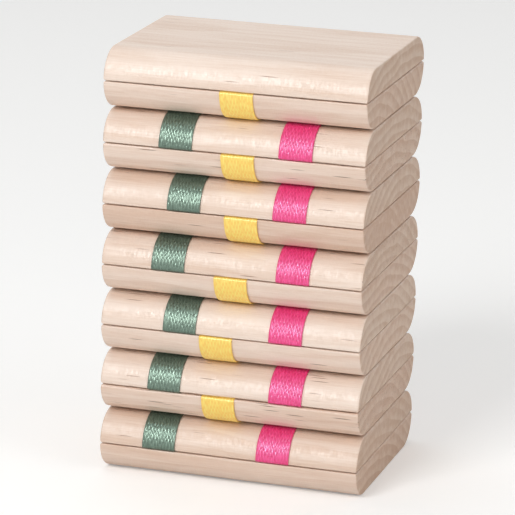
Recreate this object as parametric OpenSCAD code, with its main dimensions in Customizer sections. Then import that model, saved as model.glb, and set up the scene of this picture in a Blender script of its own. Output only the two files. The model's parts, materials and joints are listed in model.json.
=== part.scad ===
// Jacob's ladder: a stack of wooden blocks joined by three satin ribbons.
// Every block is two slabs glued face to face over the ribbons, with round noses at the front and the back.
// Frame: +Z up, front at -Y, origin on the floor under the middle of the stack. Millimetres.

/* [Blocks] */
// Number of blocks, counted from the top of the stack
block_count = 7; // [3:1:7]
// Width of a block, across the ribbons
block_width = 57; // [50:0.5:70]
// Depth of a block, from its front nose to its back nose
block_depth = 45; // [36:0.5:60]
// Thickness of each of the two slabs of a block
slab_thickness = 6.25; // [4.8:0.05:8]

/* [Ribbons] */
// Width of each ribbon
ribbon_width = 7.25; // [4:0.25:7.5]
// Thickness of each ribbon
ribbon_thickness = 0.3; // [0.2:0.02:0.4]
// Distance between the centre lines of neighbouring ribbons
ribbon_spacing = 13; // [13:0.25:17]
// Clearance between a ribbon and the wood on each side of it
ribbon_clearance = 0.05; // [0.03:0.01:0.12]
// Sideways step of the hand-laid ribbons, which their drift is counted in
drift_step = 0.25; // [0:0.01:0.27]
// Length of a ribbon's bend at a hinge line
fold_length = 1; // [0.6:0.1:1.6]
// Length of ribbon glued into the first and the last block
tail_length = 22; // [12:0.5:30]

/* [Hidden] */
$fn = 96;
wood_tones = ["#E8D0B4", "#DDC4A8"];
lane_names = ["green", "yellow", "pink"];
lane_colours = ["#3F6B55", "#F0BE3C", "#DE2F6B"];
// The outer ribbons rise out of a block at its front nose, and the middle one at its back nose
lane_rises_at_front = [true, false, true];
// Drift of each ribbon at each block, in steps to the right of its centre line
lane_drift = [
    [-2, 2, 10, -3, 8, -5, -9],
    [2, 4, 8, 0, -12, -9, -4],
    [0, 2, -2, 2, -3, -2, -12]
];
lanes = [0:len(lane_names) - 1];
middle_lane = (len(lane_names) - 1) / 2;

// A block is two slabs and the ribbon layer between them, with noses as round as it is thick
block_thickness = 2 * slab_thickness + ribbon_thickness;
nose_radius = block_thickness / 2;
// Distance from a block's middle to the centre line of each nose
nose_y = block_depth / 2 - nose_radius;
// Height of a slab's glued face over the block's middle plane
parting = ribbon_thickness / 2;
gap = ribbon_thickness + 2 * ribbon_clearance;
pitch = block_thickness + gap;
stack_height = block_count * block_thickness + (block_count - 1) * gap;
wrap_inner = nose_radius + ribbon_clearance;
wrap_outer = wrap_inner + ribbon_thickness;
// A ribbon turns away this far over the middle plane, so that two unfolded noses keep clear
turn_height = ribbon_thickness / 5;

// Height of a block's middle plane, and of the middle of the gap under a block
function block_z(k) = stack_height - nose_radius - (k - 1) * pitch;
function gap_z(g) = block_z(g) - pitch / 2;

// The stack unfolds at the front under odd blocks and at the back under even ones
function opens_at_front(g) = g % 2 == 1;

function lane_x(lane, k) = (lane - middle_lane) * ribbon_spacing + drift_step * lane_drift[lane][k - 1];
// The blocks that a ribbon reaches at the front and at the back of a gap
function front_x(lane, g) = lane_x(lane, lane_rises_at_front[lane] ? g + 1 : g);
function back_x(lane, g) = lane_x(lane, lane_rises_at_front[lane] ? g : g + 1);
// A ribbon lies flat on every second block, where neither of its wraps is at a hinge line
function lies_flat_on(lane, k) = (k % 2 == 1) == lane_rises_at_front[lane];

function upper_slab_name(k) = str("block_", k, "_upper_slab");
function lower_slab_name(k) = str("block_", k, "_lower_slab");
function ribbon_name(lane, k) = str(lane_names[lane], "_ribbon_", k);
function fold_name(lane, g) = str(lane_names[lane], "_fold_", g);

blocks = [1:block_count];
gaps = [1:block_count - 1];

// Draws an outline of depth and height across a width, centred on X
module across(width) {
    rotate([90, 0, 90]) linear_extrude(width, center = true) children();
}

// Side outline of a whole block with its two round noses
module block_outline() {
    square([2 * nose_y, block_thickness], center = true);
    for (side = [-1, 1]) translate([side * nose_y, 0]) circle(nose_radius);
}

// Upper half of a block, cut off at the parting plane
module slab() {
    across(block_width) intersection() {
        block_outline();
        translate([-block_depth / 2, parting]) square([block_depth, slab_thickness]);
    }
}

module upper_slab(k) {
    color(wood_tones[0]) translate([0, 0, block_z(k)]) slab();
}

module lower_slab(k) {
    color(wood_tones[1]) translate([0, 0, block_z(k)]) mirror([0, 0, 1]) slab();
}

// Outline of a ribbon that leaves the parting plane at the front nose and goes up round it
module rising_wrap(at_hinge) {
    cut = at_hinge ? fold_length / 2 : 0;
    translate([-nose_y, 0]) intersection() {
        difference() {
            circle(wrap_outer);
            circle(wrap_inner);
        }
        translate([-wrap_outer, turn_height]) square([wrap_outer - cut, wrap_outer]);
    }
    root_depth = nose_y + wrap_inner + parting;
    translate([-root_depth, turn_height]) square([root_depth - nose_y, parting - turn_height]);
}

// Outline of the ribbon between the two slabs, from one depth to another
module glued_run(from_y, to_y) {
    translate([from_y, -parting]) square([to_y - from_y, ribbon_thickness]);
}

// Outline of a ribbon in one block: in at the back from below, through it, and out at the front going up
module block_run(lane, k) {
    rises = k > 1;
    falls = k < block_count;
    reach = nose_y + wrap_inner;
    glued_run(
        rises ? -reach : block_depth / 2 - tail_length,
        falls ? reach : tail_length - block_depth / 2
    );
    if (rises) rising_wrap(opens_at_front(k - 1) == lane_rises_at_front[lane]);
    if (falls) rotate(180) rising_wrap(opens_at_front(k) != lane_rises_at_front[lane]);
}

// Stretch of a ribbon that lies flat in a gap, from the back of one block to the front of the other
module flat_run(lane, g) {
    front_y = opens_at_front(g) ? fold_length / 2 - nose_y : -nose_y;
    back_y = opens_at_front(g) ? nose_y : nose_y - fold_length / 2;
    half = ribbon_width / 2;
    translate([0, 0, gap_z(g)]) linear_extrude(ribbon_thickness, center = true) polygon([
        [front_x(lane, g) - half, front_y],
        [front_x(lane, g) + half, front_y],
        [back_x(lane, g) + half, back_y],
        [back_x(lane, g) - half, back_y]
    ]);
}

// Everything of one ribbon that moves with one block
module ribbon(lane, k) {
    color(lane_colours[lane]) {
        translate([lane_x(lane, k), 0, block_z(k)])
            mirror([0, lane_rises_at_front[lane] ? 0 : 1, 0])
            across(ribbon_width) block_run(lane, k);
        if (lies_flat_on(lane, k)) {
            for (g = [k - 1, k]) if (g >= 1 && g < block_count) flat_run(lane, g);
        }
    }
}

// Short bend of one ribbon at the hinge line of a gap
module fold(lane, g) {
    x = opens_at_front(g) ? front_x(lane, g) : back_x(lane, g);
    y = opens_at_front(g) ? -nose_y : nose_y;
    color(lane_colours[lane]) translate([x, y, gap_z(g)])
        cube([ribbon_width, fold_length, ribbon_thickness], center = true);
}

for (k = blocks) {
    upper_slab(k);
    lower_slab(k);
}
for (lane = lanes) for (k = blocks) {
    ribbon(lane, k);
}
for (lane = lanes) for (g = gaps) {
    fold(lane, g);
}
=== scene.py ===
# %% [markdown]
# # A Jacob's ladder, folded into its stack
#
# The toy is seven wooden blocks hung on three satin ribbons. Each block is two beech slabs glued face to
# face, and the ribbons run through the glued joint from nose to nose. The imported model holds every piece
# at its real size and every hinge, so this lesson gives the pieces their finish and never moves them. We
# load the model first and keep its box.

# %% Load the imported model
import json
import math

import bpy
import numpy as np
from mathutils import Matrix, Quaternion, Vector


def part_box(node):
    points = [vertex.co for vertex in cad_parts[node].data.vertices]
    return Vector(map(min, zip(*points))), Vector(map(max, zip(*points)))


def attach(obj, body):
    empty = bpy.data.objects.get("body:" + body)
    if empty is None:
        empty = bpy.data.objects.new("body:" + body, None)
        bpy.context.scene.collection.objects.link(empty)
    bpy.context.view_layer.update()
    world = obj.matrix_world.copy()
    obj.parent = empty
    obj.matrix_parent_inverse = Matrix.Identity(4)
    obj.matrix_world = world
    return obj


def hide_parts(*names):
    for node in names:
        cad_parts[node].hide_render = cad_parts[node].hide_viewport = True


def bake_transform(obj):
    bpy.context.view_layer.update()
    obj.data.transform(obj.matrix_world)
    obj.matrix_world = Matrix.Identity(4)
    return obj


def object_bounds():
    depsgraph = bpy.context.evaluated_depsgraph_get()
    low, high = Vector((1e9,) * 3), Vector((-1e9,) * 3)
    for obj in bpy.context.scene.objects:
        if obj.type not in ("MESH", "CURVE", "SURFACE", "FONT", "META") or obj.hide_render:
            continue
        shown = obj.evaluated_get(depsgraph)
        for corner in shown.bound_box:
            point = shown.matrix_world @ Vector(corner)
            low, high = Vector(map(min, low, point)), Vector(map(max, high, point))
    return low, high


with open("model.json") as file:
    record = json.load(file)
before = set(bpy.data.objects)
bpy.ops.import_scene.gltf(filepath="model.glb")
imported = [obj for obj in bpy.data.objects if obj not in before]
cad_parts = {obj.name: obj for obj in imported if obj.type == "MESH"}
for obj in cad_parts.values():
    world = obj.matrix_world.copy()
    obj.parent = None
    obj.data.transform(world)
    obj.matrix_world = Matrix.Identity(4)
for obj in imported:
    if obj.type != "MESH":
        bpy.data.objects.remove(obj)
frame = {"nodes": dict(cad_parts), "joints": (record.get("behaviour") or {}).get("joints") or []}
cad_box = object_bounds()
MM = 0.001

# %% [markdown]
# ## Measure before making
#
# A maker copies sizes from the drawing, and so do we: block sizes come from the boxes of the slabs, and
# the centre lines of the round noses from the hinges, because a block rolls about its nose. We could type
# the numbers again, but then a change to the model would leave the looks behind.

# %% Measure the blocks
joints = {joint["name"]: joint for joint in frame["joints"]}
BLOCKS = range(1, 1 + sum(name.endswith("upper_slab") for name in frame["nodes"]))
GAPS = range(1, len(BLOCKS))
upper_low, upper_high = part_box("block_1_upper_slab")
lower_low, lower_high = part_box("block_1_lower_slab")
block_width = upper_high.x - upper_low.x
nose_radius = (upper_high.z - lower_low.z) / 2
parting = (upper_low.z - lower_high.z) / 2
_, nose_y, top_z = np.abs(joints["gap_1_open"]["pos_m"])
pitch = top_z - joints["gap_1_roll"]["pos_m"][2]
block_z = {k: top_z - (k - 1) * pitch for k in BLOCKS}
stack_middle = Vector((0, 0, (cad_box[0].z + cad_box[1].z) / 2))
print(f"blocks {block_width / MM:.1f} mm wide and {pitch / MM:.2f} mm apart")
print(f"noses {nose_radius / MM:.2f} mm in radius")

# %% [markdown]
# The ribbons were laid by hand, so each one drifts a little from block to block. Where a ribbon wraps a
# nose it stands out past the wood, so the points of a ribbon's node beyond the nose tips give its place
# on that block.

# %% Measure the ribbons
RISES_AT_FRONT = {"green": True, "yellow": False, "pink": True}
LANES = list(RISES_AT_FRONT)


def node_points(name):
    """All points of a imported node, as rows of x, y, z in metres."""
    vertices = frame["nodes"][name].data.vertices
    points = np.empty(3 * len(vertices), np.float32)
    vertices.foreach_get("co", points)
    return points.reshape(-1, 3).astype(float)


def middle_beyond_noses(points):
    """Halfway between the leftmost and rightmost of the points that lie past the nose tips."""
    x = points[np.abs(points[:, 1]) > nose_y + nose_radius, 0]
    return (x.min() + x.max()) / 2


lane_x = {
    (lane, k): middle_beyond_noses(node_points(f"{lane}_ribbon_{k}"))
    for lane in LANES
    for k in BLOCKS
}
fold_low, fold_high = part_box("green_fold_1")
ribbon_width = fold_high.x - fold_low.x
ribbon_thickness = fold_high.z - fold_low.z
ribbon_radius = pitch / 2
print(f"ribbons {ribbon_width / MM:.2f} mm wide and {ribbon_thickness / MM:.2f} mm thick")

# %% [markdown]
# ## Camera
#
# The toy is seen from the front, a little from its right and from above, through a long lens, so that the
# block edges stay nearly parallel. The camera is set by the angles of that view and not by trial, and it
# leans a degree to one side as a hand-held camera does.

# %% Camera at the photographed angle
VIEW_AZIMUTH = math.radians(17.08)
VIEW_ELEVATION = math.radians(15.7)
VIEW_LEAN = math.radians(1.25)
VIEW_DISTANCE = 747.6 * MM
VIEW_TARGET = Vector((-1.06, 0, 44.47)) * MM
LENS = 243.9


def direction(azimuth, elevation):
    """Unit vector from the toy towards a place. Azimuth 0 is the front, and azimuth grows to the right."""
    level = math.cos(elevation)
    return Vector((math.sin(azimuth) * level, -math.cos(azimuth) * level, math.sin(elevation)))


def look_from(obj, target, way, distance):
    """Puts a camera or lamp at a distance from the target and turns its own -Z axis to face the target."""
    obj.location = target + distance * way
    obj.rotation_mode = "QUATERNION"
    obj.rotation_quaternion = way.to_track_quat("Z", "Y")
    bpy.context.scene.collection.objects.link(obj)
    return obj


camera = look_from(
    bpy.data.objects.new("camera", bpy.data.cameras.new("camera")),
    VIEW_TARGET,
    direction(VIEW_AZIMUTH, VIEW_ELEVATION),
    VIEW_DISTANCE,
)
camera.rotation_quaternion @= Quaternion((0, 0, 1), VIEW_LEAN)
camera.data.lens = LENS
bpy.context.scene.camera = camera
print("camera at", [round(c, 3) for c in camera.location])

# %% [markdown]
# ## Light
#
# Raw wood and satin show their surface in a soft light from the front and above: it leaves a broad gleam
# on the round noses and lets the grooves between the blocks go dark. One key lamp does most of the work.
# A wide warm lamp low in front lifts the undersides of the noses, a third from the right keeps the block
# ends readable, and a fourth from above lights the top face. Bare bulbs would be simpler, but their small
# hard gleams belong on varnish.

# %% Soft studio lamps
WARM = (1, 0.91, 0.82)


def softbox(name, azimuth, elevation, distance, size, watts, colour=(1, 1, 1)):
    """Square lamp of a given size, power and colour that faces the middle of the stack."""
    lamp = bpy.data.lights.new(name, "AREA")
    lamp.size = size
    lamp.energy = watts
    lamp.color = colour
    way = direction(math.radians(azimuth), math.radians(elevation))
    return look_from(bpy.data.objects.new(name, lamp), stack_middle, way, distance)


lamps = [
    softbox("key_lamp", azimuth=-18, elevation=37, distance=0.9, size=0.34, watts=3.8),
    softbox("front_lamp", azimuth=20, elevation=4, distance=1.2, size=0.8, watts=2.2, colour=WARM),
    softbox("side_lamp", azimuth=75, elevation=25, distance=1.1, size=0.6, watts=1.9),
    softbox("top_lamp", azimuth=-150, elevation=70, distance=1.0, size=0.7, watts=2.2),
]
print("lamps:", [lamp.name for lamp in lamps])

# %% [markdown]
# ## Node helper
#
# A material is a graph of nodes. Writing `add(tree, kind, {socket: value or other node's output})` makes
# a node, fills its sockets and links them in one line, so that a finish reads from its coordinates to its
# shader.

# %% Helpers for node graphs
def add(tree, kind, inputs=None, **settings):
    """New node of a kind. Each input is a plain value to set or another node's output to link."""
    node = tree.nodes.new(kind)
    for name, value in settings.items():
        setattr(node, name, value)
    for socket, value in (inputs or {}).items():
        if isinstance(value, bpy.types.NodeSocket):
            tree.links.new(value, node.inputs[socket])
        else:
            node.inputs[socket].default_value = value
    return node


def maths(tree, operation, a, b=0.0, c=0.0):
    """Output of a Math node."""
    return add(tree, "ShaderNodeMath", {0: a, 1: b, 2: c}, operation=operation).outputs[0]


def mix_colours(tree, share, a, b, blend_type="MIX"):
    """Output of a colour Mix node: a at share 0 and b, blended onto a, at share 1."""
    node = add(tree, "ShaderNodeMix", {0: share, 6: a, 7: b}, data_type="RGBA", blend_type=blend_type)
    return node.outputs[2]


def remap(tree, value, low, high, to_low=0.0, to_high=1.0):
    """Output that runs smoothly from to_low to to_high while value runs from low to high."""
    inputs = {"Value": value, 1: low, 2: high, 3: to_low, 4: to_high}
    return add(tree, "ShaderNodeMapRange", inputs, interpolation_type="SMOOTHSTEP").outputs[0]


def empty_material(name):
    """A node material with a shader and an output, and its tree and shader."""
    material = bpy.data.materials.new(name)
    material.use_nodes = True
    return material, material.node_tree, material.node_tree.nodes["Principled BSDF"]


print("node helpers:", [helper.__name__ for helper in (add, maths, mix_colours, remap, empty_material)])

# %% [markdown]
# ## Floor and background
#
# The toy stands on a plain pale floor under a white surround. What the camera, and any gleam, sees of the
# surround is white, but the light that the surround sheds on the toy is kept low, so that the lamps still
# shape it. The floor is pale paint with a little glow for the camera alone, and so it is nearly white and
# still takes the shadow.

# %% Floor and surround
SURROUND_LIGHT = 0.33
FLOOR_SIZE = 12.0
FLOOR_GLOW = 0.22
FLOOR_PAINT = (0.88, 0.88, 0.87, 1)
WHITE = (1, 1, 1, 1)

surround = bpy.data.worlds.new("surround")
surround.use_nodes = True
bpy.context.scene.world = surround
tree = surround.node_tree
rays = add(tree, "ShaderNodeLightPath").outputs
seen = maths(tree, "MAXIMUM", rays["Is Camera Ray"], rays["Is Glossy Ray"])
seen = maths(tree, "MAXIMUM", seen, rays["Is Transmission Ray"])
strength = add(tree, "ShaderNodeMapRange", {"Value": seen, 3: SURROUND_LIGHT, 4: 1.0}).outputs[0]
tree.links.new(strength, tree.nodes["Background"].inputs["Strength"])
tree.nodes["Background"].inputs["Color"].default_value = WHITE

paint, tree, shader = empty_material("pale_floor")
shader.inputs["Base Color"].default_value = FLOOR_PAINT
shader.inputs["Roughness"].default_value = 0.9
shader.inputs["Emission Color"].default_value = WHITE
seen = add(tree, "ShaderNodeLightPath").outputs["Is Camera Ray"]
tree.links.new(maths(tree, "MULTIPLY", seen, FLOOR_GLOW), shader.inputs["Emission Strength"])

corners = FLOOR_SIZE / 2 * np.array([[-1, -1, 0], [1, -1, 0], [1, 1, 0], [-1, 1, 0]])
floor_mesh = bpy.data.meshes.new("floor")
floor_mesh.from_pydata(corners.tolist(), [], [(0, 1, 2, 3)])
floor_mesh.materials.append(paint)
floor = bpy.data.objects.new("floor", floor_mesh)
bpy.context.scene.collection.objects.link(floor)
bpy.context.scene.view_settings.view_transform = "Standard"
print("floor:", FLOOR_SIZE, "m square")

# %% [markdown]
# ## One kind of mesh for every piece
#
# Slabs and ribbons are both a closed outline carried along a line. The outline's points at every station
# make a grid, neighbours on the grid are joined by four-sided faces, and the first and last ring are
# closed by a flat face. The sign of the volume inside tells whether the faces point outwards, so that
# volume is worked out first. Blender can turn faces outwards too, but only by looking at each mesh again
# after it is made.

# %% Mesh of a closed tube
def enclosed_volume(rings):
    """Volume inside a closed tube: a sixth of the sum, over all its triangles, of a . (b x c)."""
    a, d = rings[:-1], rings[1:]
    b, c = np.roll(a, -1, axis=1), np.roll(d, -1, axis=1)
    first, last = (np.broadcast_to(ring[:1], ring.shape) for ring in (rings[0], rings[-1]))
    triangles = [
        (a, b, c),
        (a, c, d),
        (first, np.roll(rings[0], -1, axis=0), rings[0]),
        (last, rings[-1], np.roll(rings[-1], -1, axis=0)),
    ]
    return sum((p * np.cross(q, r)).sum() for p, q, r in triangles) / 6


def tube_mesh(name, rings):
    """Mesh with vertex j of ring i at rings[i, j], side faces between neighbours and a face at each end."""
    index = np.arange(rings.shape[0] * rings.shape[1]).reshape(rings.shape[:2])
    if enclosed_volume(rings) < 0:
        index = index[::-1]
    turned = np.roll(index, -1, axis=1)
    sides = np.stack([index[:-1], turned[:-1], turned[1:], index[1:]], axis=-1).reshape(-1, 4)
    ends = [index[0, ::-1].tolist(), index[-1].tolist()]
    mesh = bpy.data.meshes.new(name)
    mesh.from_pydata(rings.reshape(-1, 3).tolist(), [], sides.tolist() + ends)
    smooth = np.arange(len(mesh.polygons)) < len(sides)
    mesh.polygons.foreach_set("use_smooth", smooth)
    return mesh


def new_piece(mesh, material):
    """Object at the origin that shows a mesh in a material."""
    mesh.materials.append(material)
    piece = bpy.data.objects.new(mesh.name, mesh)
    bpy.context.scene.collection.objects.link(piece)
    return piece


unit_cube = np.array([[[0, 0, z], [1, 0, z], [1, 1, z], [0, 1, z]] for z in (0, 1)])
print("volume of a unit cube as a tube:", enclosed_volume(unit_cube))

# %% [markdown]
# ## A rounded corner, used twice
#
# A slab's nose is a quarter circle that stands on the glued face, and its sharp foot is sanded off a
# little. A ribbon comes out of the glued joint and turns up into the same kind of quarter circle, only a
# hair larger. Both are one curve: a small circle that touches a level line and touches a large circle
# from inside.

# %% Quarter circle with an eased foot
def eased_quarter(radius, base, ease, ease_steps, round_steps):
    """Points of a quarter circle about the origin, from its foot on a level line up to its top.

    The small circle of radius `ease` has its centre `ease` above the line at height `base`, and
    `radius - ease` from the origin. It is followed from its lowest point to the angle at which both circles
    touch, and from there the large circle is followed to the top. The last result is the angle of the
    outward normal."""
    centre_height = base + ease
    centre_reach = np.sqrt((radius - ease) ** 2 - centre_height**2)
    touch = np.arctan2(centre_height, centre_reach)
    small = -math.pi / 2 + np.linspace(0, 1, ease_steps) * (touch + math.pi / 2)
    large = touch + np.linspace(0, 1, round_steps)[1:] * (math.pi / 2 - touch)
    reach = np.concatenate([centre_reach + ease * np.cos(small), radius * np.cos(large)], axis=-1)
    height = np.concatenate([centre_height + ease * np.sin(small), radius * np.sin(large)], axis=-1)
    return reach, height, np.concatenate([small, large], axis=-1)


reach, height, _ = eased_quarter(radius=1.0, base=0.0, ease=0.1, ease_steps=6, round_steps=26)
print(f"eased quarter of radius 1: {len(reach)} points, foot at {reach[0]:.3f}, top at {height[-1]:.3f}")

# %% [markdown]
# ## Slabs
#
# A slab is cut from a planed strip with two rounded edges, sawn to length and sanded. No two come out
# alike: the sanded foot of the nose is a little wider here than there, one nose falls a tenth of a
# millimetre short of the slab it is glued to, and the sawn ends are rubbed round. That is what makes the
# glued joint a living line and not a drawn one. The outline of depth and height is worked out for all
# stations along the width at once.

# %% Worn nose of a slab
FOOT_EASE = 0.16 * MM
LEAST_EASE, EASE_WAVER = 0.7, 0.8
NOSE_SHORTFALL = 0.09 * MM
# Number of waves along a nose, and their lengths in block widths
WAVES, SHORTEST_WAVE, LONGEST_WAVE = 4, 0.25, 1.1
FOOT_STEPS, NOSE_STEPS, TOP_STEPS = 6, 26, 10


def slow_wave(x, rng):
    """Smooth waver between 0 and 1 along x: a few sines of random length and phase, added and squeezed."""
    lengths = rng.uniform(SHORTEST_WAVE, LONGEST_WAVE, (WAVES, 1)) * block_width
    phases = rng.uniform(0, 2 * math.pi, (WAVES, 1))
    total = np.sin(2 * math.pi * x / lengths + phases).sum(axis=0)
    return 0.5 + 0.5 * np.tanh(total / 2)


def nose_outline(x, wear, rng):
    """Half of a slab's outline at every station x, from the foot of a nose to the middle of the flat face.

    The eased quarter circle is squeezed in depth by the nose's shortfall, and the flat follows its top."""
    ease = wear * FOOT_EASE * (LEAST_EASE + EASE_WAVER * slow_wave(x, rng))[:, None]
    squeeze = 1 - NOSE_SHORTFALL / nose_radius * slow_wave(x, rng)[:, None]
    reach, height, _ = eased_quarter(nose_radius, parting, ease, FOOT_STEPS, NOSE_STEPS)
    flat = np.broadcast_to(-np.linspace(0, nose_y, TOP_STEPS)[1:], (len(x), TOP_STEPS - 1))
    depth = nose_y + np.concatenate([reach * squeeze, flat], axis=1)
    return depth, np.concatenate([height, np.full(flat.shape, nose_radius)], axis=1)


depth, _ = nose_outline(np.zeros(1), 1.0, np.random.default_rng(0))
print(f"half outline: {depth.shape[1]} points, nose tip {depth.max() / MM:.2f} mm from the middle")

# %% [markdown]
# A whole slab is two such halves, back and front, carried along the width. A Bevel modifier could round
# its sawn ends, but it would also find the edges of the joint. So the outline itself shrinks towards its
# own middle over the last fraction of a millimetre, as a quarter circle falls away.

# %% Whole slab
END_EASE = 0.4 * MM
END_STEPS, WIDTH_STEPS = 6, 60


def slab_rings(wear, rng):
    """Outline of a slab over its block's middle plane, carried along X, with rounded edges at both ends.

    Near an end the outline shrinks towards its own middle by the inset of that quarter round."""
    turn = np.linspace(0, math.pi / 2, END_STEPS)
    plain = np.linspace(-1, 1, WIDTH_STEPS)[1:-1] * (block_width / 2 - END_EASE)
    end_x = block_width / 2 - END_EASE + END_EASE * np.sin(turn)
    end_inset = END_EASE * (1 - np.cos(turn))
    x = np.concatenate([-end_x[::-1], plain, end_x])
    inset = np.concatenate([end_inset[::-1], 0 * plain, end_inset])[:, None]
    back_y, back_z = nose_outline(x, wear, rng)
    front_y, front_z = nose_outline(x, wear, rng)
    y = np.concatenate([back_y, -front_y[:, -2::-1]], axis=1)
    z = np.concatenate([back_z, front_z[:, -2::-1]], axis=1)
    middle, half = (nose_radius + parting) / 2, (nose_radius - parting) / 2
    y = y * (1 - inset / (nose_y + nose_radius))
    z = middle + (z - middle) * (1 - inset / half)
    return np.stack([np.broadcast_to(x[:, None], y.shape), y, z], axis=-1)


sample = slab_rings(1.0, np.random.default_rng(0))
print("slab grid", sample.shape, f"volume {enclosed_volume(sample) / MM**3:.0f} mm3")

# %% [markdown]
# ## Beech
#
# The slabs are bare sanded beech. Its growth rings are faint, its fibres run along the block, and its
# mark is the fleck, a short thin dash. A picture of wood would smear round the noses and show no end
# grain. So the wood is a solid: every point of a slab has a place in an imagined log that lies along X,
# and the rings are distances from the middle of that log. Then the ends show arcs by themselves. An
# attribute, `board`, says where in its log each slab was cut.

# %% Growth rings of a log
WANDER_SIZE = (45 * MM, 22 * MM)
WANDER = 6 * MM
RING_WIDTH = 2.6 * MM
# Share of a ring over which it darkens, and over which it ends
RING_DARKENS, RING_ENDS = (0.1, 0.9), (1.0, 0.93)


def stretched(tree, point, along, across):
    """Coordinates in which a pattern of size 1 is `along` long in X and `across` wide in Y and Z."""
    scale = (1 / along, 1 / across, 1 / across)
    return add(tree, "ShaderNodeMapping", {"Vector": point, "Scale": scale}).outputs[0]


def log_point(tree):
    """Place of a surface point in its slab's log."""
    place = add(tree, "ShaderNodeTexCoord").outputs["Object"]
    board = add(tree, "ShaderNodeAttribute", attribute_name="board").outputs["Vector"]
    return add(tree, "ShaderNodeVectorMath", {0: place, 1: board}).outputs[0]


def growth_rings(tree, point):
    """Saw-tooth of the distance from the log's middle, which wanders slowly along the log."""
    wander = {"Vector": stretched(tree, point, *WANDER_SIZE), "Scale": 1.0}
    wander = add(tree, "ShaderNodeTexNoise", wander).outputs["Color"]
    shift = add(tree, "ShaderNodeVectorMath", {0: wander, "Scale": WANDER}, operation="SCALE").outputs[0]
    moved = add(tree, "ShaderNodeVectorMath", {0: point, 1: shift}).outputs[0]
    flat = add(tree, "ShaderNodeMapping", {"Vector": moved, "Scale": (0, 1, 1)}).outputs[0]
    radius = add(tree, "ShaderNodeVectorMath", {0: flat}, operation="LENGTH").outputs["Value"]
    share = maths(tree, "FRACT", maths(tree, "DIVIDE", radius, RING_WIDTH))
    return maths(tree, "MULTIPLY", remap(tree, share, *RING_DARKENS), remap(tree, share, *RING_ENDS))


print(f"growth rings {RING_WIDTH / MM:.1f} mm wide, wandering by up to {WANDER / MM:.0f} mm")

# %% [markdown]
# A fleck is the cut edge of a ray, a thin sheet of cells that runs outwards from the middle of the tree.
# Dashes painted on a face would stop at its edge, so these are solid as well: a lattice of long cells has
# one random point in each, and a small ellipsoid about some of those points is a fleck. An attribute,
# `fleck_share`, says about how many. The sawn ends are full of open pores and so look darker. They are
# found by their normal, which lies along the log.

# %% Flecks and end grain
FLECK_CELL = (8.0 * MM, 0.6 * MM)
FLECK_SQUEEZE = (3.0, 5.0, 4.5)
# From the rim of a fleck to its full colour, and from a long face to a sawn end
FLECK_EDGE = (1.0, 0.4)
END_FACING = (0.5, 0.95)


def flecks(tree, point):
    """1 inside short dashes: ellipsoids, long in X, about one random point in each cell of a lattice."""
    cell = stretched(tree, point, *FLECK_CELL)
    lattice = add(tree, "ShaderNodeTexVoronoi", {"Vector": cell, "Scale": 1.0}).outputs
    away = add(tree, "ShaderNodeVectorMath", {0: cell, 1: lattice["Position"]}, operation="SUBTRACT")
    sized = add(tree, "ShaderNodeMapping", {"Vector": away.outputs[0], "Scale": FLECK_SQUEEZE}).outputs[0]
    far = add(tree, "ShaderNodeVectorMath", {0: sized}, operation="LENGTH").outputs["Value"]
    chosen = add(tree, "ShaderNodeSeparateColor", {0: lattice["Color"]}).outputs[0]
    amount = add(tree, "ShaderNodeAttribute", attribute_name="fleck_share").outputs["Fac"]
    return maths(tree, "MULTIPLY", remap(tree, far, *FLECK_EDGE), maths(tree, "LESS_THAN", chosen, amount))


def end_grain(tree):
    """1 on the sawn ends, which face along the log, and 0 on the long faces."""
    normal = add(tree, "ShaderNodeNewGeometry").outputs["Normal"]
    sideways = maths(tree, "ABSOLUTE", add(tree, "ShaderNodeSeparateXYZ", {0: normal}).outputs[0])
    return remap(tree, sideways, *END_FACING)


fleck_size = 2 * np.divide(FLECK_CELL, FLECK_SQUEEZE[:2]) / MM
print(f"flecks up to {fleck_size[0]:.1f} mm long and {fleck_size[1]:.2f} mm wide")

# %% [markdown]
# The finish puts these together. How deep the colour is at a point is a sum: the slab's own tone (for one
# slab partly a painted shadow), the rings, a broad figure and the fibres. Sanding leaves fine marks across
# the grain. They hardly change the colour, but they break the gleam on the noses into small glints, so
# they go into the roughness and the relief.

# %% Beech material
# Size of each pattern along the grain and across it
FIGURE_SIZE = (30 * MM, 2.2 * MM)
FIBRE_SIZE = (7 * MM, 0.2 * MM)
SCRATCH_SIZE = (0.32 * MM, 1.4 * MM)
SANDING_SIZE = (0.35 * MM, 0.8 * MM)
# Noise between the first two numbers becomes a depth of colour or a roughness between the last two
FIGURE_DEPTH = (0.3, 0.75, -0.2, 0.35)
FIBRE_DEPTH = (0.3, 0.72, -0.16, 0.2)
SCRATCH_ROUGHNESS = (0.38, 0.64, 0.64, 0.43)
# How deep the rings are on the long faces, and how much deeper on the ends
RING_DEPTH, END_RING_DEPTH = 0.28, 0.5
FLECK_COVER = 0.92
END_GRAIN_COVER, END_GRAIN_TINT = 0.8, (0.78, 0.68, 0.58, 1)
# Fibres stand up by this much, flecks sink and sanding marks rise in proportion to them
WOOD_RELIEF = 0.05 * MM
FLECK_RELIEF, SANDING_RELIEF = 0.8, 1.5


def noise(tree, vector, detail=2.0):
    """Height of a soft noise, about 0.5."""
    inputs = {"Vector": vector, "Scale": 1.0, "Detail": detail, "Roughness": 0.5}
    return add(tree, "ShaderNodeTexNoise", inputs).outputs[0]


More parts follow.
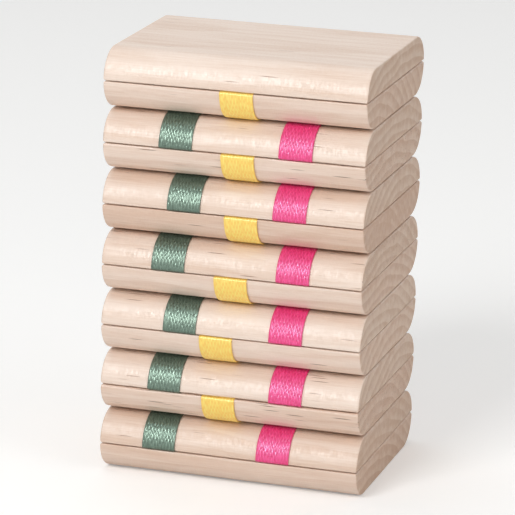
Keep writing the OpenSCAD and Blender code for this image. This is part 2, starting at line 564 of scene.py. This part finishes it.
def beech(name, pale, deep, fleck_colour):
    """Bare beech between a pale and a deep colour, with rings, fibres, flecks and darker end grain."""
    material, tree, shader = empty_material(name)
    point = log_point(tree)
    rings = growth_rings(tree, point)
    dashes = flecks(tree, point)
    ends = end_grain(tree)
    figure = noise(tree, stretched(tree, point, *FIGURE_SIZE), detail=3)
    fibres = noise(tree, stretched(tree, point, *FIBRE_SIZE), detail=3)
    scratches = noise(tree, stretched(tree, point, *SCRATCH_SIZE), detail=2)
    sanding = noise(tree, stretched(tree, point, *SANDING_SIZE), detail=1)

    # The slab's tone, which for block 7's upper slab is partly a painted shadow
    tone_and_shadow = add(tree, "ShaderNodeAttribute", attribute_name="tone_and_shadow").outputs["Fac"]
    ring_depth = maths(tree, "MULTIPLY_ADD", ends, END_RING_DEPTH, RING_DEPTH)
    depth = maths(tree, "MULTIPLY_ADD", rings, ring_depth, tone_and_shadow)
    depth = maths(tree, "ADD", depth, remap(tree, figure, *FIGURE_DEPTH))
    depth = maths(tree, "ADD", depth, remap(tree, fibres, *FIBRE_DEPTH))
    colour = mix_colours(tree, maths(tree, "MAXIMUM", depth, 0.0), pale, deep)
    colour = mix_colours(tree, maths(tree, "MULTIPLY", dashes, FLECK_COVER), colour, fleck_colour)
    end_cover = maths(tree, "MULTIPLY", ends, END_GRAIN_COVER)
    colour = mix_colours(tree, end_cover, colour, END_GRAIN_TINT, "MULTIPLY")
    tree.links.new(colour, shader.inputs["Base Color"])

    tree.links.new(remap(tree, scratches, *SCRATCH_ROUGHNESS), shader.inputs["Roughness"])
    relief = maths(tree, "SUBTRACT", fibres, maths(tree, "MULTIPLY", dashes, FLECK_RELIEF))
    relief = maths(tree, "MULTIPLY_ADD", sanding, SANDING_RELIEF, relief)
    bump = add(tree, "ShaderNodeBump", {"Strength": 0.5, "Distance": WOOD_RELIEF, "Height": relief})
    tree.links.new(bump.outputs[0], shader.inputs["Normal"])
    shader.inputs["IOR"].default_value = 1.6
    shader.inputs["Specular IOR Level"].default_value = 1.0
    return material


# Upper and lower slabs are the same beech: the upper copy's colours are a little paler, a painted
# highlight, and the lower copy's a little pinker, painted warm light from below
beech_finish = {
    "upper": beech(
        "upper_beech",
        pale=(0.81, 0.672, 0.575, 1),
        deep=(0.665, 0.48, 0.365, 1),
        fleck_colour=(0.28, 0.14, 0.08, 1),
    ),
    "lower": beech(
        "lower_beech",
        pale=(0.82, 0.665, 0.565, 1),
        deep=(0.67, 0.47, 0.355, 1),
        fleck_colour=(0.20, 0.10, 0.055, 1),
    ),
}
print("wood:", [material.name for material in beech_finish.values()])

# %% [markdown]
# Now the slabs themselves. A lower slab is the same shape turned half round about the block's own long
# axis, as it is on the bench, and never a mirror image, which would turn its faces inside out. Each slab
# takes a place in its log by chance, but from a fixed seed, so that the toy comes out the same every
# time.

# %% Make the slabs
# Each slab's tone differs at random, but the deeper tone of block 7's upper slab is partly a painted shadow
SLAB_TONE_AND_SHADOW = {
    "upper": (0.15, 0.2, 0.2, 0.3, 0.0, 0.15, 0.45),
    "lower": (0.2, 0.15, 0.65, 0.15, 0.0, 0.3, 0.3),
}
FLECK_SHARE = {("lower", 6): 0.9, ("upper", 6): 0.45, ("upper", 4): 0.3, ("lower", 2): 0.6}
PLAIN_FLECK_SHARE = 0.06
FOOT_WEAR = (1.0, 1.3, 0.9, 0.8, 0.9, 2.4, 1.1)
LOG_MIDDLE_LOW = np.array([-400, -14, 22]) * MM
LOG_MIDDLE_HIGH = np.array([400, 14, 60]) * MM
TURNED = {"upper": (1, 1, 1), "lower": (1, -1, -1)}
WOOD_SEED = 7


def set_attribute(mesh, name, value):
    """Writes the same number or vector to every point of a mesh."""
    value = np.atleast_1d(value)
    kind, field = ("FLOAT", "value") if len(value) == 1 else ("FLOAT_VECTOR", "vector")
    data = mesh.attributes.new(name, kind, "POINT").data
    data.foreach_set(field, np.tile(value, len(data)).astype(np.float32))


def make_slab(k, half, rng):
    """One slab of block k, cut from a random place in a log, riding on its block."""
    rings = slab_rings(FOOT_WEAR[k - 1], rng) * TURNED[half]
    name = f"block_{k}_{half}_slab"
    mesh = tube_mesh(name + "_beech", rings + np.array([0, 0, block_z[k]]))
    log_middle = rng.uniform(LOG_MIDDLE_LOW, LOG_MIDDLE_HIGH)
    set_attribute(mesh, "board", log_middle - np.array([0, 0, block_z[k]]))
    set_attribute(mesh, "tone_and_shadow", SLAB_TONE_AND_SHADOW[half][k - 1])
    set_attribute(mesh, "fleck_share", FLECK_SHARE.get((half, k), PLAIN_FLECK_SHARE))
    piece = new_piece(mesh, beech_finish[half])
    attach(piece, f"block_{k}")
    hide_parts(name)
    return piece


wood_rng = np.random.default_rng(WOOD_SEED)
slabs = [make_slab(k, half, wood_rng) for k in BLOCKS for half in ("upper", "lower")]
print("slabs:", len(slabs))

# %% [markdown]
# ## Satin
#
# In satin the lengthwise threads float over several crosswise ones before they dip under one, so the
# ribbon is all long floats, and it gleams in a band across its width. Plain gloss would leave that band
# smooth. So the shader builds the floats: it counts the threads across the ribbon, cuts each of them into
# floats, sets every other thread back by half a float, and adds some chance. The pattern follows the
# ribbon round the noses, so it reads the ribbon's own map, in which one unit is one ribbon width.

# %% Threads and floats
# Threads across a ribbon, and floats along one ribbon width
THREADS = 20
FLOATS = 3.2
# Scale of a slow sway of the weave, and how far it moves threads sideways and floats along
SWAY_SCALE = (2.6, 0.9, 1)
SIDE_SWAY, START_SWAY = 0.06, 1.2
# How far chance moves the floats of a thread along, and the thread's share in the mixed chance
START_CHANCE = 0.35
THREAD_SHARE = 0.6


def arch_over(tree, value):
    """Half a sine wave over each whole step of a value: 0 at the ends of the step and 1 in its middle."""
    return maths(tree, "SINE", maths(tree, "MULTIPLY", maths(tree, "FRACT", value), math.pi))


def satin_floats(tree, weave):
    """Thread count and float count at a point of the map, and two chances between 0 and 1.

    The whole part of each count is the number of a thread or of a float on it. The first chance is the
    float's own, and the second is mixed from that and from one chance for the whole thread."""
    sway = noise(tree, add(tree, "ShaderNodeMapping", {"Vector": weave, "Scale": SWAY_SCALE}).outputs[0])
    place = add(tree, "ShaderNodeSeparateXYZ", {0: weave}).outputs
    column = maths(tree, "MULTIPLY", maths(tree, "MULTIPLY_ADD", sway, SIDE_SWAY, place[0]), THREADS)
    number = maths(tree, "FLOOR", column)
    thread = add(tree, "ShaderNodeTexWhiteNoise", {"W": number}, noise_dimensions="1D").outputs["Value"]
    start = maths(tree, "PINGPONG", maths(tree, "MULTIPLY", number, 0.5), 0.5)
    start = maths(tree, "MULTIPLY_ADD", thread, START_CHANCE, start)
    start = maths(tree, "MULTIPLY_ADD", sway, START_SWAY, start)
    run = maths(tree, "MULTIPLY_ADD", place[1], FLOATS, start)
    key = add(tree, "ShaderNodeCombineXYZ", {0: number, 1: maths(tree, "FLOOR", run)}).outputs[0]
    chance = add(tree, "ShaderNodeTexWhiteNoise", {"Vector": key}, noise_dimensions="2D").outputs["Value"]
    mixed = maths(tree, "MULTIPLY_ADD", maths(tree, "SUBTRACT", thread, chance), THREAD_SHARE, chance)
    return column, run, chance, mixed


print("satin:", THREADS, "threads,", FLOATS, "floats to a ribbon width")

# %% [markdown]
# Each float is a low arch, higher towards one of its ends by chance, and that breaks the gleam into
# strands. The colour is painted darker in the hollows between the floats and lighter on their crests,
# as painted shade and painted light. No two threads took the dye quite alike, and the colour is darker
# towards the woven edges, the selvedges. The shader's Anisotropic setting draws the gleam out across the
# threads. It takes its direction from the map, whose tangent points across the ribbon.

# %% Satin material
# Where a selvedge starts and is full, in ribbon widths from the middle, and how far its colour is moved
# towards the darker colour
SELVEDGE, SELVEDGE_SHADE = (0.465, 0.49), -0.5
# Height of a float from which and up to which its colour is painted lighter, from painted shade in the
# hollows to painted light on the crests
CREST_PAINTED_LIGHT = (0.0, 0.75)
# Chance between the first two numbers becomes a share of dye or a roughness between the last two
DYE = (0.1, 0.8, 0.4, 1.0)
FLOAT_ROUGHNESS = (0.0, 1.0, 0.38, 0.28)


def selvedge(tree, weave):
    """1 at the woven edges of a ribbon and 0 between them."""
    across = add(tree, "ShaderNodeSeparateXYZ", {0: weave}).outputs[0]
    from_middle = maths(tree, "ABSOLUTE", maths(tree, "SUBTRACT", across, 0.5))
    return remap(tree, from_middle, *SELVEDGE)


def satin(name, thread, shade, gleam, relief_height, leaning, cording):
    """Satin with a colour for its threads, a darker one painted into the hollows between them as painted
    shade, and one for its gleam.

    The height of a float is its arch, times 1 plus `leaning` by its chance and by the way from its middle.
    To that, `cording` times the roundness of its thread is added."""
    material, tree, shader = empty_material(name)
    weave = add(tree, "ShaderNodeUVMap", uv_map="weave").outputs[0]
    column, run, chance, mixed = satin_floats(tree, weave)
    arch = arch_over(tree, run)
    cord = arch_over(tree, column)

    # Painted shade and painted light: the colour is darker in the hollows between floats and lighter on
    # their crests
    painted_crest_light = remap(tree, maths(tree, "MULTIPLY", arch, cord), *CREST_PAINTED_LIGHT)
    painted_light_and_dye = maths(tree, "MULTIPLY", painted_crest_light, remap(tree, mixed, *DYE))
    edge = maths(tree, "MULTIPLY_ADD", selvedge(tree, weave), SELVEDGE_SHADE, 1.0)
    painted_light_and_dye = maths(tree, "MULTIPLY", painted_light_and_dye, edge)
    tree.links.new(mix_colours(tree, painted_light_and_dye, shade, thread), shader.inputs["Base Color"])
    tree.links.new(remap(tree, chance, *FLOAT_ROUGHNESS), shader.inputs["Roughness"])

    from_middle = maths(tree, "SUBTRACT", maths(tree, "FRACT", run), 0.5)
    lean = maths(tree, "MULTIPLY", maths(tree, "SUBTRACT", mixed, 0.5), from_middle)
    relief = maths(tree, "MULTIPLY", arch, maths(tree, "MULTIPLY_ADD", lean, leaning, 1.0))
    relief = maths(tree, "MULTIPLY_ADD", cord, cording, relief)
    bump = add(tree, "ShaderNodeBump", {"Strength": 1.0, "Distance": relief_height, "Height": relief})
    tree.links.new(bump.outputs[0], shader.inputs["Normal"])
    tangent = add(tree, "ShaderNodeTangent", direction_type="UV_MAP", uv_map="weave")
    tree.links.new(tangent.outputs[0], shader.inputs["Tangent"])

    shader.inputs["Anisotropic"].default_value = 0.3
    shader.inputs["IOR"].default_value = 1.92
    shader.inputs["Specular IOR Level"].default_value = 1.0
    shader.inputs["Specular Tint"].default_value = gleam
    shader.inputs["Sheen Weight"].default_value = 0.15
    shader.inputs["Sheen Tint"].default_value = gleam
    return material


print("a selvedge takes", round((0.5 - SELVEDGE[0]) * ribbon_width / MM, 2), "mm of each side")

# %% [markdown]
# The three ribbons differ in dye and in weave. Green and pink are lively: their floats stand high and
# lean far, so they glitter. The yellow is woven flatter, and hardly glitters at all. The gleam has a
# colour of its own, because light that enters a dyed thread comes out tinted.

# %% Three ribbon finishes
LIVELY = {"relief_height": 0.080 * MM, "leaning": 6.0, "cording": 0.30}
CALM = {"relief_height": 0.024 * MM, "leaning": 2.0, "cording": 0.5}

satin_finish = {
    "green": satin(
        "green_satin",
        thread=(0.064, 0.098, 0.077, 1),
        shade=(0.013, 0.021, 0.017, 1),
        gleam=(0.68, 0.92, 0.755, 1),
        **LIVELY,
    ),
    "yellow": satin(
        "yellow_satin",
        thread=(1.0, 0.80, 0.195, 1),
        shade=(0.98, 0.62, 0.105, 1),
        gleam=(0.65, 0.60, 0.42, 1),
        **CALM,
    ),
    "pink": satin(
        "pink_satin",
        thread=(0.95, 0.062, 0.270, 1),
        shade=(0.80, 0.022, 0.150, 1),
        gleam=(0.33, 0.42, 0.60, 1),
        **LIVELY,
    ),
}
print("satin colours:", list(satin_finish))

# %% [markdown]
# ## Ribbons
#
# Each ribbon is one long strip, but it doesn't move as one. In a block it lies glued between the slabs.
# It comes out at a nose, turns and wraps a quarter of that nose, crosses the gap flat, and wraps the far
# nose of the other block. When a gap opens, the wrap at the hinge peels off its nose, and the ribbon
# behind it lies down on the nose of the other block. So the strip is cut into a core in each block and a
# wrap and a run in each gap, and the cuts lie hidden in the joints and the gaps. All of them are one
# outline carried along a path.

# %% A strip along a path
EDGE_STEPS = 25
SELVEDGE_SWELL = 0.22
ROUND_EDGE = 14


def strip_section():
    """Closed outline across a ribbon: its width, and a thickness that swells a little at the woven edges.

    The half thickness over a share s of the half width is h (1 - swell (1 - s^4)) sqrt(1 - |s|^n)."""
    share = np.sin(np.linspace(-math.pi / 2, math.pi / 2, EDGE_STEPS))
    half = ribbon_thickness / 2 * (1 - SELVEDGE_SWELL * (1 - share**4))
    half *= np.sqrt(np.maximum(0, 1 - np.abs(share) ** ROUND_EDGE))
    across = ribbon_width / 2 * np.concatenate([share[::-1], share[1:-1]])
    return across, np.concatenate([half[::-1], -half[1:-1]])


def strip_mesh(name, path, along):
    """The strip's outline carried along a path with columns x, y, z and the y and z of its outward normal.

    Each point is moved from the path by its place across, along X, and by its height, along the normal.
    `along` is the length of ribbon at each station. Place and length go into the map `weave`, in ribbon
    widths."""
    across, over = strip_section()
    x, y, z, normal_y, normal_z = (column[:, None] for column in path.T)
    rings = np.stack([x + across, y + over * normal_y, z + over * normal_z], axis=-1)
    mesh = tube_mesh(name, rings)
    shares = np.broadcast_arrays(across / ribbon_width + 0.5, along[:, None] / ribbon_width)
    place = np.stack(shares, axis=-1).reshape(-1, 2)
    corners = np.empty(len(mesh.loops), np.int32)
    mesh.loops.foreach_get("vertex_index", corners)
    weave = mesh.uv_layers.new(name="weave")
    weave.data.foreach_set("uv", place[corners].astype(np.float32).ravel())
    return mesh


across, over = strip_section()
print(f"strip outline: {len(across)} points, {2 * over.max() / MM:.2f} mm thick at most")

# %% [markdown]
# A wrap starts a little way inside the glued joint, comes out, turns with the small radius that a ribbon
# takes when it is pulled tight, and follows the nose to its top or bottom. In its own terms it always
# goes out and up, and `side` and `rise` turn that to the front or the back and to the upper or the lower
# slab. At the mouth of the joint the glue has pressed the ribbon thin against the slab that it goes
# round, so a dark slit shows beside it.

# %% Path of a wrap and of a flat
TURN_RADIUS = 0.45 * MM
# How far inside the joint a wrap starts, its height there and the share of its thickness that is left
MOUTH = 0.35 * MM
MOUTH_HEIGHT = 0.10 * MM
MOUTH_SHARE = 0.3
TURN_STEPS, WRAP_STEPS, FLAT_STEPS = 9, 34, 30
QUARTER = math.pi / 2 * ribbon_radius
# Length of ribbon from one gap to the next: through a block, round two quarters and along a gap
BLOCK_RUN = 4 * nose_y + 2 * nose_radius + 2 * QUARTER


def wrap_path(x, k, side, rise):
    """Path of a ribbon at place x out of block k's joint on one side and round a quarter of its nose.

    The normals are shorter than 1 at the mouth, where the ribbon is thin, and grow to 1 along the turn."""
    reach, height, angle = eased_quarter(ribbon_radius, MOUTH_HEIGHT, TURN_RADIUS, TURN_STEPS, WRAP_STEPS)
    reach = np.append(reach[0] - MOUTH, reach)
    height = np.append(height[0], height)
    angle = np.append(angle[0], angle)
    y = side * (nose_y + reach)
    z = block_z[k] + rise * height
    share = np.interp(np.arange(len(y)), [1, TURN_STEPS], [MOUTH_SHARE, 1.0])
    normal = share[:, None] * np.column_stack([side * np.cos(angle), rise * np.sin(angle)])
    return np.column_stack([np.full(len(y), x), y, z, normal])


def flat_path(wrap, end_x, end_y, steps=FLAT_STEPS):
    """A wrap's path, followed by a straight run from its top to a given place across and along the gap."""
    share = np.linspace(0, 1, steps)[1:, None]
    end = wrap[-1].copy()
    end[:2] = end_x, end_y
    return np.vstack([wrap, wrap[-1] + share * (end - wrap[-1])])


def length_along(path):
    """Length of path up to each of its points."""
    steps = np.linalg.norm(np.diff(path[:, :3], axis=0), axis=1)
    return np.append(0.0, np.cumsum(steps))


print(f"ribbon for each block: {BLOCK_RUN / MM:.0f} mm, with {QUARTER / MM:.1f} mm round each nose")

# %% [markdown]
# At a hinge, three bodies meet: the block whose nose is wrapped, the fold that rolls round it, and the
# block that carries the flat stretch. The wrap comes out of the wrapped block's joint and ends at a crease
# a little way into the gap, where nothing shows. The run starts there, with its first rings packed into a
# sliver and spaced by the inverse of a smooth step, and goes on across the gap and round the other nose.

# %% Ribbon pieces of one gap
# Distance of the crease from the hinge line, and length of the sliver
CREASE = 1.0 * MM
SLIVER = 0.3 * MM
# Stations on the wrap's straight stretch to the crease, and on the run's sliver
CREASE_STEPS, ROLL_STEPS = 5, 30


def inverse_smoothstep(share):
    """The t in 0..1 for which 3 t^2 - 2 t^3 is the given share: 1/2 - sin(asin(1 - 2 share) / 3)."""
    return 0.5 - np.sin(np.arcsin(1 - 2 * share) / 3)


def finish_strip(mesh, lane, *nodes):
    """Piece in a lane's satin that stands for one or more nodes."""
    piece = new_piece(mesh, satin_finish[lane])
    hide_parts(*nodes)
    return piece


def make_gap_ribbon(lane, g):
    """Wrap and run of one ribbon in gap g, between blocks g and g + 1."""
    side = math.copysign(1, joints[f"gap_{g}_open"]["pos_m"][1])
    from_below = RISES_AT_FRONT[lane] == (side < 0)
    wrapped, carrier = (g + 1, g) if from_below else (g, g + 1)
    rise = 1 if from_below else -1
    hinge_x = lane_x[lane, wrapped]
    crease = np.array([hinge_x, side * (nose_y - CREASE), block_z[wrapped] + rise * ribbon_radius])
    inward = crease - np.array([0, side * SLIVER, 0])

    # The wrap, from the joint to the crease
    path = flat_path(wrap_path(hinge_x, wrapped, side, rise), hinge_x, crease[1], CREASE_STEPS)
    along = length_along(path)
    # Each ribbon's map goes on where the last one ends, so that no two show the same floats
    start = (LANES.index(lane) * len(BLOCKS) + g) * BLOCK_RUN
    wrap = strip_mesh(f"{lane}_wrap_{g}", path, start + along - along[-1])
    wrap = finish_strip(wrap, lane, f"{lane}_ribbon_{wrapped}")
    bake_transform(wrap)

    # The run, from the crease to the far joint: the sliver, the flat and the far wrap
    share = np.linspace(0, 1, ROLL_STEPS)[:, None]
    roll = np.hstack([crease + inverse_smoothstep(share) * (inward - crease), 0 * share, -rise + 0 * share])
    path = flat_path(wrap_path(lane_x[lane, carrier], carrier, -side, -rise), hinge_x, inward[1])[::-1]
    along = np.append(QUARTER * (share[:, 0] - 1), length_along(path)[1:])
    run = strip_mesh(f"{lane}_run_{g}", np.vstack([roll, path[1:]]), start + along)
    run = finish_strip(run, lane, f"{lane}_fold_{g}", f"{lane}_ribbon_{carrier}")
    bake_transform(run)
    return [wrap, run]


ribbons = [piece for lane in LANES for g in GAPS for piece in make_gap_ribbon(lane, g)]
print("ribbon pieces in the gaps:", len(ribbons))

# %% [markdown]
# Between its two noses a ribbon lies glued in the block, where nothing of it shows. It is there all the
# same, because a block can be taken apart. In the first and the last block a ribbon has only one nose to
# come out at, and ends in the glued joint. How far it reaches is read from its node.

# %% Glued stretches inside the blocks
# Share of a ribbon's thickness that is left under the pressed slabs, and some margin to find its layer
GLUED_SHARE = 0.8
LAYER_MARGIN = 1.01


def make_core(lane, k):
    """Stretch of a ribbon in block k's glued joint, from one mouth to the other or to its glued end."""
    name = f"{lane}_ribbon_{k}"
    points = node_points(name)
    y = points[np.abs(points[:, 2] - block_z[k]) < parting * LAYER_MARGIN, 1]
    mouth = nose_y + ribbon_radius - TURN_RADIUS - MOUTH
    y = np.linspace(max(y.min(), -mouth), min(y.max(), mouth), FLAT_STEPS)
    one = np.ones(len(y))
    path = np.column_stack([lane_x[lane, k] * one, y, block_z[k] * one, 0 * one, GLUED_SHARE * one])
    piece = finish_strip(strip_mesh(f"{lane}_core_{k}", path, y - y[0]), lane, name)
    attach(piece, f"block_{k}")
    return piece


cores = [make_core(lane, k) for lane in LANES for k in BLOCKS]
print("glued stretches:", len(cores))
